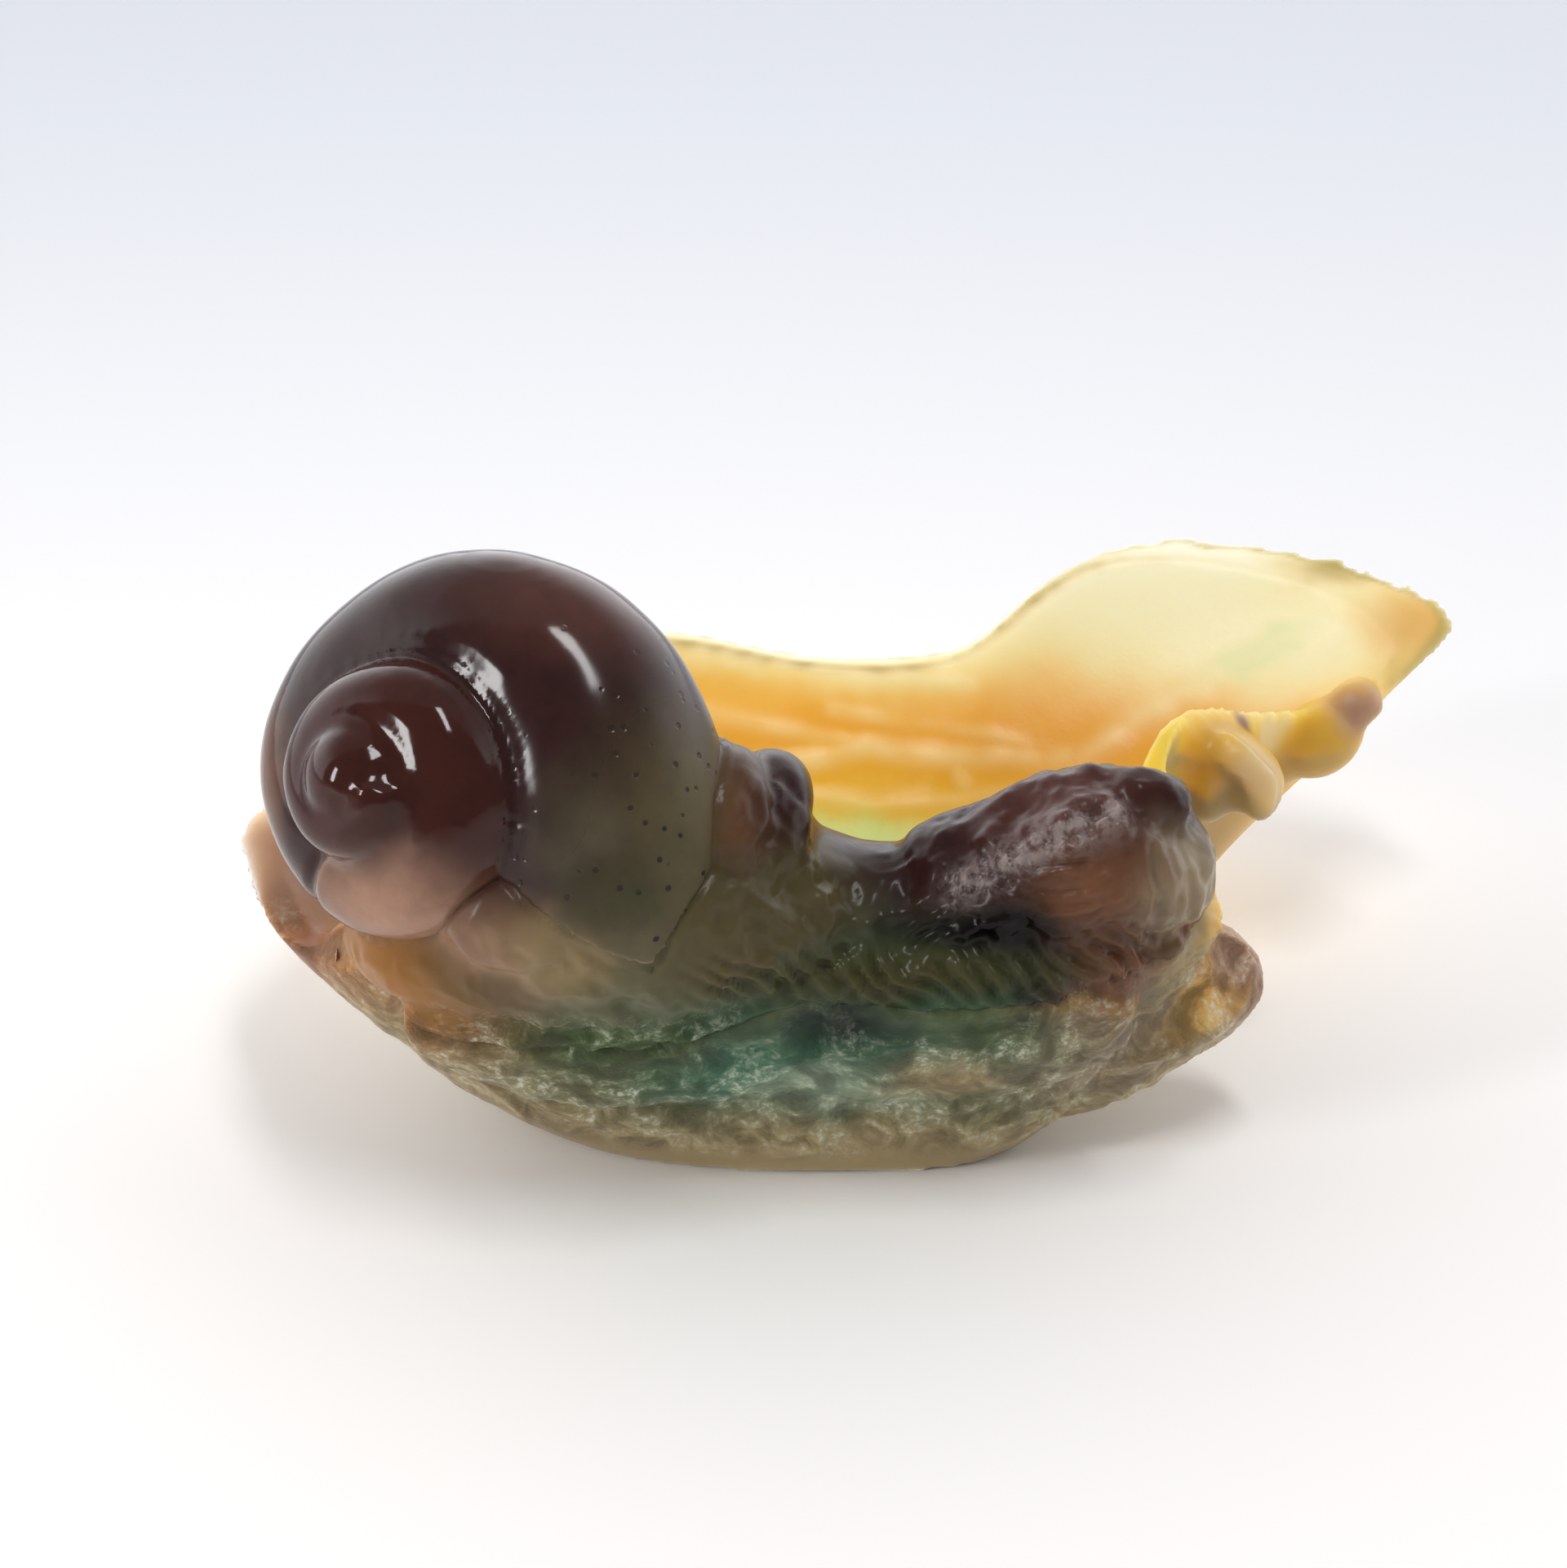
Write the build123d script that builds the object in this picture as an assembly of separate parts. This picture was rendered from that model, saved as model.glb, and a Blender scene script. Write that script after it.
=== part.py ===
from build123d import *
from math import atan2, cos, radians, sin
import os

# Snail crawling along the rim of a curled leaf dish, cast in coloured glass. Millimetres, +Z up. The
# snail faces +X on the near side (-Y), and the origin is the centre of the flat that the dish stands on.

# Leaf dish: plan, height, glass thickness and the ground flat
LEAF_LENGTH = 150.0
LEAF_WIDTH = 84.0
LEAF_HEIGHT = 48.0
LEAF_CENTRE_SHARES = (0.080, 0.155, 0.0)
RIM_THICKNESS = 4.2
FLOOR_THICKNESS = 8.0
BASE_LENGTH_SHARE = 0.36
BASE_LENGTH = LEAF_LENGTH * BASE_LENGTH_SHARE
BASE_WIDTH_SHARE = 0.47619
BASE_WIDTH = LEAF_WIDTH * BASE_WIDTH_SHARE
BASE_CENTRE_SHARES = (0.033, 0.012, 0.0)
BASE_CORNER_SHARE = 0.88
GROUND_DEPTH = 2.5
HULL_CURVE_SHARE = 1.8
FLOOR_SHARE = 0.74
FLOOR_CURVE_SHARE = 1.75
TIP_STRAIGHT_SHARE = 1.0
WALL_SHARES = (0.0, 0.35, 0.63, 0.84, 1.0)
# The rim under the snail, then the rim once round: shares of the leaf's length, width and height
NEAR_RIM_SHARES = (0.000, -0.335, 0.620)
RIM_SHARES = [
    (0.290, -0.030, 0.860), (0.308, 0.080, 0.915), (0.350, 0.170, 0.865), (0.400, 0.240, 0.800),
    (0.455, 0.315, 0.750), (0.510, 0.410, 0.735), (0.573, 0.512, 0.855), (0.530, 0.577, 0.905),
    (0.473, 0.620, 0.938), (0.373, 0.655, 0.980), (0.293, 0.655, 0.960), (0.227, 0.625, 0.865),
    (0.167, 0.595, 0.720), (0.093, 0.571, 0.690), (0.013, 0.571, 0.700), (-0.087, 0.571, 0.765),
    (-0.200, 0.548, 0.770), (-0.300, 0.452, 0.710), (-0.367, 0.298, 0.650), (-0.408, 0.130, 0.640),
    (-0.420, 0.020, 0.670), (-0.390, -0.120, 0.560), (-0.300, -0.262, 0.560), (-0.160, -0.327, 0.600),
    NEAR_RIM_SHARES, (0.160, -0.325, 0.615), (0.275, -0.285, 0.610), (0.325, -0.180, 0.650),
]

# Lobes that curl out of the leaf's right side. Each has the shares of the leaf where its root, its bend
# and its tip lie, and the way that its width runs
LOBE_THICKNESS = 5.0
FRONT_LOBE_WIDTH = 15.0
FRONT_LOBE_SHARES = [(0.240, -0.150, 0.43), (0.310, -0.150, 0.45), (0.358, -0.145, 0.44)]
FRONT_LOBE_SPREAD_SHARES = (0.30, 0.35, 0.88)
MIDDLE_LOBE_WIDTH = 12.0
MIDDLE_LOBE_SHARES = [(0.332, 0.155, 0.77), (0.364, 0.105, 0.76), (0.368, 0.055, 0.65)]
MIDDLE_LOBE_SPREAD_SHARES = (0.70, 0.50, -0.50)
REAR_LOBE_WIDTH = 8.0
REAR_LOBE_SHARES = [(0.465, 0.365, 0.74), (0.478, 0.345, 0.735), (0.490, 0.335, 0.70)]
REAR_LOBE_SPREAD_SHARES = (0.72, 0.69, 0.0)
# Along each lobe, from root to tip: the share of the way, then of the width and of the thickness
LOBE_FORM_SHARES = [(0.0, 0.42, 0.50), (0.3, 0.50, 0.50), (0.6, 0.46, 0.46), (0.85, 0.28, 0.36),
                    (1.0, 0.07, 0.15)]

# Snail, from the tail to the front. Each row is a place, as shares of a length, a width and a height
# from the rim under the snail, then a half width and a half height
FOOT_LENGTH_SHARE = 0.64
FOOT_LENGTH = LEAF_LENGTH * FOOT_LENGTH_SHARE
FOOT_WIDTH = 18.0
FOOT_HEIGHT = 8.0
FOOT_SHARES = [
    (-0.46, 0.45, 0.00, 0.06, 0.08), (-0.42, 0.38, 0.02, 0.22, 0.24), (-0.33, 0.30, 0.06, 0.38, 0.42),
    (-0.18, 0.28, 0.12, 0.46, 0.50), (0.02, 0.28, 0.16, 0.47, 0.50), (0.22, 0.30, 0.20, 0.47, 0.50),
    (0.36, 0.43, 0.22, 0.45, 0.50), (0.43, 0.64, 0.26, 0.34, 0.42), (0.465, 0.76, 0.28, 0.08, 0.12),
]
NECK_LENGTH_SHARE = 0.30667
NECK_LENGTH = LEAF_LENGTH * NECK_LENGTH_SHARE
NECK_WIDTH = 19.0
NECK_HEIGHT = 15.0
NECK_SHARES = [
    (-1.02, 0.40, 0.06, 0.08, 0.10), (-0.92, 0.36, 0.14, 0.38, 0.42), (-0.72, 0.30, 0.28, 0.60, 0.70),
    (-0.46, 0.24, 0.40, 0.70, 0.84), (-0.24, 0.26, 0.44, 0.70, 0.84), (-0.07, 0.34, 0.40, 0.62, 0.72),
    (0.11, 0.42, 0.28, 0.53, 0.52), (0.30, 0.42, 0.25, 0.49, 0.47), (0.52, 0.42, 0.38, 0.42, 0.44),
    (0.66, 0.42, 0.50, 0.10, 0.10),
]
HEAD_LENGTH_SHARE = 0.22667
HEAD_LENGTH = LEAF_LENGTH * HEAD_LENGTH_SHARE
HEAD_WIDTH = 22.0
HEAD_HEIGHT = 22.0
HEAD_SHARES = [
    (0.22, 0.36, 0.28, 0.06, 0.05), (0.38, 0.36, 0.28, 0.28, 0.22), (0.56, 0.36, 0.33, 0.42, 0.34),
    (0.76, 0.36, 0.39, 0.48, 0.41), (0.92, 0.38, 0.44, 0.48, 0.46), (1.06, 0.43, 0.40, 0.45, 0.44),
    (1.17, 0.49, 0.26, 0.38, 0.37), (1.24, 0.55, 0.12, 0.22, 0.22), (1.265, 0.57, 0.09, 0.05, 0.05),
]
# Eye stalks laid back along both sides of the head: along it, aside from its middle, up, and thickness
STALK_DIAMETER = 4.6
STALK_MIDDLE_SHARE = 0.38
STALK_SHARES = [(1.14, 0.18, 0.70, 0.15), (1.06, 0.25, 0.70, 0.42), (0.90, 0.34, 0.66, 0.50),
                (0.75, 0.36, 0.56, 0.45), (0.64, 0.36, 0.48, 0.15)]

# Mantle collar: a roll that arches over the neck in front of the shell
COLLAR_DIAMETER = 9.0
COLLAR_SPAN = 17.0
COLLAR_RISE = 11.0
COLLAR_PLACE_SHARES = (-0.03, 0.46, 0.42)
COLLAR_ANGLES = (-80.0, -40.0, 0.0, 40.0, 80.0)
COLLAR_TAPER_SHARE = 0.5

# Shell: a tube wound on a slanting axis, halved by each turn, from the aperture to the apex
SHELL_RADIUS = 28.5
SPIRE_HEIGHT = 28.0
WHORL_RATIO_SHARE = 2.0
TUBE_SHARE = 0.48
SHELL_PLACE_SHARES = (-0.6815, 0.675, 1.159)
SHELL_AXIS_SHARES = (-0.56, -0.74, 0.376)
APERTURE_ANGLE = -40.0
WHORL_STEP = 30.0
BODY_WHORL_STEPS = 9
SPIRE_STEPS = 9
APEX_STEPS = 7
APEX_DIAMETER = 13.0
APEX_HEIGHT_SHARE = 0.66
CORE_DIAMETER = 20.0
CORE_HEIGHT_SHARE = 0.38

UP = Vector(0, 0, 1)


def leaf_place(shares):
    x_share, y_share, z_share = [share - base for share, base in zip(shares, BASE_CENTRE_SHARES)]
    return Vector(LEAF_LENGTH * x_share, LEAF_WIDTH * y_share, LEAF_HEIGHT * z_share)


def leaf_rim():
    return [leaf_place(shares) for shares in RIM_SHARES]


def rounded(share):
    return abs(share) ** BASE_CORNER_SHARE * (1 if share > 0 else -1)


def leaf_base(rim):
    centre = leaf_place(LEAF_CENTRE_SHARES)
    points = []
    for point in rim:
        angle = atan2((point.Y - centre.Y) / LEAF_WIDTH, (point.X - centre.X) / LEAF_LENGTH)
        points.append(Vector(BASE_LENGTH / 2 * rounded(cos(angle)), BASE_WIDTH / 2 * rounded(sin(angle))))
    return points


def wall_curve(top, curve_share):
    reach = max(0, top.X - BASE_LENGTH / 2) / (LEAF_LENGTH / 2)
    return curve_share - TIP_STRAIGHT_SHARE * reach


def wall_point(low, top, curve_share, share):
    run = Vector(top.X - low.X, top.Y - low.Y)
    return low + run * share + UP * ((top.Z - low.Z) * share ** wall_curve(top, curve_share))


def wall_rise(low, top):
    steep = wall_curve(top, HULL_CURVE_SHARE)
    return Vector(top.X - low.X, top.Y - low.Y, (top.Z - low.Z) * steep).normalized()


def hull_ends(rim):
    return [(low - UP * GROUND_DEPTH, top) for low, top in zip(leaf_base(rim), rim)]


def hollow_ends(rim):
    middle = sum(rim, Vector()) / len(rim)
    ends = []
    for index, (low, top) in enumerate(hull_ends(rim)):
        rise = wall_rise(low, top)
        inward = (UP - rise * rise.dot(UP)).normalized() * RIM_THICKNESS
        above = (rim[index + 1 - len(rim)] - rim[index - 1]).cross(middle - top)
        floor = Vector(low.X * FLOOR_SHARE, low.Y * FLOOR_SHARE, FLOOR_THICKNESS)
        ends.append((floor, top + inward - rise * (inward.dot(above) / rise.dot(above))))
    return ends


def ring(points):
    rim = leaf_rim()
    steps = [(after - before).length for before, after in zip(rim, rim[1:] + rim[:1])]
    places = [sum(steps[:count]) / sum(steps) for count in range(len(steps) + 1)]
    return Wire([Edge.make_spline(points, periodic=True, parameters=places)])


def wall_rings(ends, curve_share):
    rings = []
    for share in WALL_SHARES:
        rings.append(ring([wall_point(low, top, curve_share, share) for low, top in ends]))
    return rings


def leaf_dish():
    rim = leaf_rim()
    outside = wall_rings(hull_ends(rim), HULL_CURVE_SHARE)
    inside = wall_rings(hollow_ends(rim), FLOOR_CURVE_SHARE)
    faces = Shell.make_loft(outside).faces() + Shell.make_loft(inside).faces()
    faces += Shell.make_loft([outside[-1], inside[-1]], ruled=True).faces()
    walls = Solid(Shell(faces + [Face(outside[0]), Face(inside[0])]))
    return split(walls, Plane.XY, keep=Keep.TOP)


def swelling(centres, halves, top):
    rings = []
    for index, (half_height, half_width) in enumerate(halves):
        along = centres[min(index + 1, len(centres) - 1)] - centres[max(index - 1, 0)]
        plane = Plane(centres[index], x_dir=top, z_dir=along)
        rings.append(Wire([Edge.make_ellipse(half_height, half_width, plane)]))
    return Solid.make_loft(rings)


def leaf_lobe(place_shares, width, spread_shares):
    root, bend, tip = [leaf_place(shares) for shares in place_shares]
    spine = Edge.make_spline([root, bend, tip])
    centres = [spine @ share for share, *_ in LOBE_FORM_SHARES]
    halves = [(LOBE_THICKNESS * thick, width * wide) for _, wide, thick in LOBE_FORM_SHARES]
    return swelling(centres, halves, (tip - root).cross(Vector(*spread_shares)))


def snail_form(shares, length, width, height):
    start = leaf_place(NEAR_RIM_SHARES)
    centres = [start + Vector(length * x, width * y, height * z) for x, y, z, *_ in shares]
    halves = [(height * rise, width * half) for *_, half, rise in shares]
    return swelling(centres, halves, UP)


def eye_stalk(side):
    start = leaf_place(NEAR_RIM_SHARES) + Vector(0, HEAD_WIDTH * STALK_MIDDLE_SHARE)
    centres = []
    halves = []
    for along, aside, up, thick in STALK_SHARES:
        centres.append(start + Vector(HEAD_LENGTH * along, HEAD_WIDTH * aside * side, HEAD_HEIGHT * up))
        halves.append((STALK_DIAMETER * thick, STALK_DIAMETER * thick))
    return swelling(centres, halves, UP)


def mantle_collar():
    along, aside, up = COLLAR_PLACE_SHARES
    low = leaf_place(NEAR_RIM_SHARES) + Vector(NECK_LENGTH * along, NECK_WIDTH * aside, NECK_HEIGHT * up)
    centres = []
    halves = []
    for angle in COLLAR_ANGLES:
        over = cos(radians(angle))
        centres.append(low + Vector(0, COLLAR_SPAN / 2 * sin(radians(angle)), COLLAR_RISE * over))
        thick = COLLAR_DIAMETER / 2 * over ** COLLAR_TAPER_SHARE
        halves.append((thick, thick))
    return swelling(centres, halves, Vector(1, 0, 0))


def shell_axes():
    axis = Vector(*SHELL_AXIS_SHARES).normalized()
    right = (Vector(1, 0, 0) - axis * axis.X).normalized()
    return axis, right, axis.cross(right)


def shell_start():
    along, aside, up = SHELL_PLACE_SHARES
    return leaf_place(NEAR_RIM_SHARES) + Vector(NECK_LENGTH * along, NECK_WIDTH * aside, NECK_HEIGHT * up)


def shell_ring(angle):
    axis, right, above = shell_axes()
    grow = WHORL_RATIO_SHARE ** (-angle / 360)
    out = right * cos(radians(angle)) + above * sin(radians(angle))
    climb = axis * (SPIRE_HEIGHT * (1 - grow))
    centre = shell_start() + climb + out * (SHELL_RADIUS * grow * (1 - TUBE_SHARE))
    plane = Plane(centre, x_dir=out, z_dir=out.cross(axis))
    return Wire([Edge.make_circle(SHELL_RADIUS * grow * TUBE_SHARE, plane)])


def whorl(first, steps):
    angles = [APERTURE_ANGLE + WHORL_STEP * (first + step) for step in range(steps + 1)]
    return Solid.make_loft([shell_ring(angle) for angle in angles])


def shell_core(diameter, height_share):
    centre = shell_start() + shell_axes()[0] * (SPIRE_HEIGHT * height_share)
    return Pos(*centre) * Sphere(diameter / 2)


def shell_spire():
    return whorl(BODY_WHORL_STEPS, SPIRE_STEPS) + shell_core(CORE_DIAMETER, CORE_HEIGHT_SHARE)


def shell_apex():
    tip = shell_core(APEX_DIAMETER, APEX_HEIGHT_SHARE)
    return whorl(BODY_WHORL_STEPS + SPIRE_STEPS, APEX_STEPS) + tip


def less(shape, *others):
    for other in others:
        shape = max((shape - other).solids(), key=lambda solid: solid.volume)
    return shape


dish = leaf_dish()
front_lobe = less(leaf_lobe(FRONT_LOBE_SHARES, FRONT_LOBE_WIDTH, FRONT_LOBE_SPREAD_SHARES), dish)
middle_lobe = less(leaf_lobe(MIDDLE_LOBE_SHARES, MIDDLE_LOBE_WIDTH, MIDDLE_LOBE_SPREAD_SHARES), dish)
rear_lobe = less(leaf_lobe(REAR_LOBE_SHARES, REAR_LOBE_WIDTH, REAR_LOBE_SPREAD_SHARES), dish)
foot = less(snail_form(FOOT_SHARES, FOOT_LENGTH, FOOT_WIDTH, FOOT_HEIGHT), dish)
neck = less(snail_form(NECK_SHARES, NECK_LENGTH, NECK_WIDTH, NECK_HEIGHT), dish, foot)
head = less(snail_form(HEAD_SHARES, HEAD_LENGTH, HEAD_WIDTH, HEAD_HEIGHT), dish, foot, neck, front_lobe)
stalks = [less(eye_stalk(side), head, neck, dish) for side in (-1, 1)]
body_whorl = less(whorl(0, BODY_WHORL_STEPS), dish, foot, neck)
collar = less(mantle_collar(), neck, body_whorl, foot, dish)
spire = less(shell_spire(), body_whorl, dish, foot, neck)
apex = less(shell_apex(), spire, body_whorl)

nodes = {
    "leaf_dish": dish,
    "leaf_front_lobe": front_lobe,
    "leaf_middle_lobe": middle_lobe,
    "leaf_rear_lobe": rear_lobe,
    "snail_foot": foot,
    "snail_neck": neck,
    "snail_head": head,
    "snail_eye_stalks": Compound(stalks),
    "mantle_collar": collar,
    "shell_body_whorl": body_whorl,
    "shell_spire": spire,
    "shell_apex": apex,
}
os.makedirs("parts", exist_ok=True)
for name, shape in nodes.items():
    export_step(shape, f"parts/{name}.step")
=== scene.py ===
from math import cos, pi, radians, sin

import bpy
import numpy as np
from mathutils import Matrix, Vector, noise
from mathutils.bvhtree import BVHTree


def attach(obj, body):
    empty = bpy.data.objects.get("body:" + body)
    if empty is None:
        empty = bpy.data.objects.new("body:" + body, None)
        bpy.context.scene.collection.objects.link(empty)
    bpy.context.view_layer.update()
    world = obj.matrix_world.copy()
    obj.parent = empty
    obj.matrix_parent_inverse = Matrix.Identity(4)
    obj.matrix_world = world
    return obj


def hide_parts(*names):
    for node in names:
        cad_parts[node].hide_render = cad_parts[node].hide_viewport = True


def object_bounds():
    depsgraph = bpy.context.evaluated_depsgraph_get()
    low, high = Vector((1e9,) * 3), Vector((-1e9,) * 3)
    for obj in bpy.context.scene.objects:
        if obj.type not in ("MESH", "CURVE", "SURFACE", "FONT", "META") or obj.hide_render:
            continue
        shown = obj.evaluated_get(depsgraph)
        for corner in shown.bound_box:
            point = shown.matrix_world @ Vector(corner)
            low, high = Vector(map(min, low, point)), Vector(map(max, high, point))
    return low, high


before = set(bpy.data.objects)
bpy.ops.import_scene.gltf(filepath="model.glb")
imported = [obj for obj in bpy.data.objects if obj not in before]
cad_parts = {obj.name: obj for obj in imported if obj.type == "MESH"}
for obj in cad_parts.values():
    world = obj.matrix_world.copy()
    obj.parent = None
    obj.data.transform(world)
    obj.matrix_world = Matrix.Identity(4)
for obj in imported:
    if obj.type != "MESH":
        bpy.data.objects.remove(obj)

# A snail crawling along the rim of a curled leaf dish, kiln-cast in coloured glass.
# Lengths and places are millimetres in the part's frame, and MM turns them into metres.
MM = 0.001
CAD_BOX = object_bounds()
CAD_LOW, CAD_HIGH = np.array(CAD_BOX) / MM

LEAF_NODES = ("leaf_dish", "leaf_front_lobe", "leaf_middle_lobe", "leaf_rear_lobe")
SNAIL_NODES = ("snail_foot", "snail_neck", "snail_head", "snail_eye_stalks", "mantle_collar")
SHELL_NODES = ("shell_body_whorl", "shell_spire", "shell_apex")

# How fine each piece is modelled, the radius that the wax was smoothed to in its creases, and how far
# each piece runs under its neighbour
LEAF_VOXEL = 0.72
SNAIL_VOXEL = 0.46
SHELL_VOXEL = 0.5
BODY_FILLET = 2.8
SHELL_FILLET = 2.6
FILLET_SPARE = 0.15
LAP = 0.45

# Rounds of smoothing, each a step in and a slightly larger step out so that the wax does not shrink
BODY_ROUNDS = 16
SHELL_ROUNDS = 14
LEAF_ROUNDS = 2
STEP_IN = 0.5
STEP_OUT = -0.52

# Distances to the CAD pieces are measured up to this far
REACH = 9.0

# Camera: the photograph is taken from in front, a little above
CAMERA_TARGET = (-4.95, -1.01, 38.6)
CAMERA_DISTANCE = 290.8
CAMERA_ELEVATION = 27.0
CAMERA_ANGLE = 34.0


# Shaping
def take_up(piece):
    bpy.ops.object.select_all(action="DESELECT")
    piece.select_set(True)
    bpy.context.view_layer.objects.active = piece


def work(piece, kind, **settings):
    take_up(piece)
    modifier = piece.modifiers.new(kind.title(), kind)
    for name, value in settings.items():
        setattr(modifier, name, value)
    bpy.ops.object.modifier_apply(modifier=modifier.name)


def wax_copy(name, nodes):
    bpy.ops.object.select_all(action="DESELECT")
    for node in nodes:
        copy = bpy.data.objects.new(name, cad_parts[node].data.copy())
        bpy.context.collection.objects.link(copy)
        copy.select_set(True)
        bpy.context.view_layer.objects.active = copy
    if len(nodes) > 1:
        bpy.ops.object.join()
    piece = bpy.context.object
    piece.name = name
    piece.data.materials.clear()
    bpy.ops.object.mode_set(mode="EDIT")
    bpy.ops.mesh.select_all(action="SELECT")
    bpy.ops.mesh.remove_doubles(threshold=0.01 * MM)
    bpy.ops.object.mode_set(mode="OBJECT")
    return piece


def wax_swelling(place, radii, turn):
    bpy.ops.object.select_all(action="DESELECT")
    angles = [radians(angle) for angle in turn]
    bpy.ops.mesh.primitive_uv_sphere_add(radius=1, location=Vector(place) * MM, rotation=angles)
    bpy.context.object.scale = Vector(radii) * MM
    bpy.ops.object.transform_apply()
    return bpy.context.object


def trim(piece, place, way):
    take_up(piece)
    bpy.ops.object.mode_set(mode="EDIT")
    bpy.ops.mesh.select_all(action="SELECT")
    bpy.ops.mesh.bisect(plane_co=Vector(place) * MM, plane_no=way, clear_outer=True, use_fill=True)
    bpy.ops.object.mode_set(mode="OBJECT")
    work(piece, "TRIANGULATE", min_vertices=5)


def keep_within(piece, low, high):
    bpy.ops.object.select_all(action="DESELECT")
    middle = (Vector(low) + Vector(high)) / 2
    bpy.ops.mesh.primitive_cube_add(size=1, location=middle * MM)
    room = bpy.context.object
    room.scale = (Vector(high) - Vector(low)) * MM
    bpy.ops.object.transform_apply()
    work(piece, "BOOLEAN", operation="INTERSECT", object=room, solver="MANIFOLD")
    take_up(room)
    bpy.ops.object.delete()


def joined(name, pieces):
    bpy.ops.object.select_all(action="DESELECT")
    for piece in pieces:
        piece.select_set(True)
    bpy.context.view_layer.objects.active = pieces[0]
    bpy.ops.object.join()
    piece = bpy.context.object
    piece.name = name
    piece.data.name = name
    return piece


def settle(piece, rounds):
    for turn in range(rounds):
        work(piece, "SMOOTH", factor=STEP_IN, iterations=1)
        work(piece, "SMOOTH", factor=STEP_OUT, iterations=1)


# Melts the waxes of a piece into one skin: creases are filled to the fillet's radius, and edges stay
def cast(piece, voxel, fillet, rounds):
    work(piece, "REMESH", mode="VOXEL", voxel_size=voxel * MM)
    first = bpy.data.objects.new("wax", piece.data.copy())
    bpy.context.collection.objects.link(first)
    work(piece, "DISPLACE", strength=fillet * MM, mid_level=0)
    work(piece, "REMESH", mode="VOXEL", voxel_size=voxel * MM)
    work(piece, "DISPLACE", strength=-(fillet + FILLET_SPARE) * MM, mid_level=0)
    joined(piece.name, [piece, first])
    work(piece, "REMESH", mode="VOXEL", voxel_size=voxel * MM)
    settle(piece, rounds)
    bpy.ops.object.shade_smooth()


def surface(piece):
    count = len(piece.data.vertices)
    places = np.empty(count * 3)
    normals = np.empty(count * 3)
    piece.data.vertices.foreach_get("co", places)
    piece.data.vertices.foreach_get("normal", normals)
    return places.reshape(-1, 3) / MM, normals.reshape(-1, 3)


# Moves the skin along its normals, and never out of the CAD box
def push(piece, rise):
    places, normals = surface(piece)
    moved = np.clip(places + normals * rise[:, None], CAD_LOW, CAD_HIGH) * MM
    piece.data.vertices.foreach_set("co", moved.ravel())
    piece.data.update()


def keep_mask(piece, name, values):
    piece.data.attributes.new(name, "FLOAT", "POINT").data.foreach_set("value", values)


def near(places, centre, radii):
    return np.exp(-(((places - np.array(centre)) / np.array(radii)) ** 2).sum(axis=1))


def off_nodes(places, nodes):
    nearest = np.full(len(places), REACH)
    spots = (places * MM).tolist()
    for node in nodes:
        tree = BVHTree.FromObject(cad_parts[node], bpy.context.evaluated_depsgraph_get())
        found = [tree.find_nearest(spot, REACH * MM)[3] for spot in spots]
        nearest = np.minimum(nearest, [REACH if gap is None else gap / MM for gap in found])
    return nearest


# A depth under 1 lays a line on as seen from the front, whatever the skin's depth there
def off_line(places, points, depth):
    flat = np.array([1, depth, 1])
    places = places * flat
    nearest = np.full(len(places), np.inf)
    for start, end in zip(points, points[1:]):
        start = np.array(start) * flat
        run = np.array(end) * flat - start
        share = np.clip((places - start) @ run / (run @ run), 0, 1)
        nearest = np.minimum(nearest, np.linalg.norm(places - start - share[:, None] * run, axis=1))
    return nearest


# How sharply the skin bends outwards, averaged over a few neighbours
EDGE_BEND = (0.03, 0.16)
EDGE_ROUNDS = 8


def edge_share(piece, places, normals):
    ends = np.empty(len(piece.data.edges) * 2, dtype=int)
    piece.data.edges.foreach_get("vertices", ends)
    start, end = ends.reshape(-1, 2).T
    run = places[start] - places[end]
    long = (run ** 2).sum(axis=1)
    ways = np.bincount(ends, minlength=len(places))
    bend = np.bincount(start, (run * normals[start]).sum(axis=1) / long, len(places))
    bend = (bend - np.bincount(end, (run * normals[end]).sum(axis=1) / long, len(places))) / ways
    for turn in range(EDGE_ROUNDS):
        shared = np.bincount(start, bend[end], len(places))
        shared = shared + np.bincount(end, bend[start], len(places))
        bend = 0.4 * bend + 0.6 * shared / ways
    return step(bend, *EDGE_BEND)


def ridge(places, points, width, depth=1.0):
    return np.exp(-((off_line(places, points, depth) / width) ** 2))


def step(values, low, high):
    share = np.clip((values - low) / (high - low), 0, 1)
    return share * share * (3 - 2 * share)


def waves(places, size, octaves=3):
    spots = (places / size).tolist()
    return np.array([noise.fractal(spot, 1.0, 2.0, octaves) for spot in spots])


# Wax model of leaf and snail together: places on its surface, as lines, spots and dents
MIDRIB = [(-44, 20, 22), (-24, 31, 22), (-8, 35, 22), (6, 36.5, 24.6), (17, 36.3, 23.7),
          (32.5, 33.2, 24.7), (49, 38, 34), (64, 42, 40)]
SIDE_VEINS = [
    [(-24, 31, 22), (-18, 38, 30), (-10.5, 37.6, 28), (3.2, 36.8, 25.4)],
    [(-34, 27, 23), (-26, 38, 32), (-20, 44, 38)],
    [(1.4, 39.2, 28.8), (21.4, 37.4, 26.2), (32.5, 33.2, 24.7)],
    [(4.6, 41.5, 31.5), (12, 42, 31.5), (19.4, 42, 31)],
    [(-12, 33, 21), (6.6, 31.9, 18.9), (15, 32.3, 19), (26, 31.5, 21)],
    [(-30, 29, 22), (-18, 20, 12.5), (-4, 12, 10.5)],
    [(17, 36.3, 23.7), (21, 24, 14), (20, 12, 12)],
    [(32.5, 33.2, 24.7), (37, 25, 24), (39, 18, 26)],
]
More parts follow.
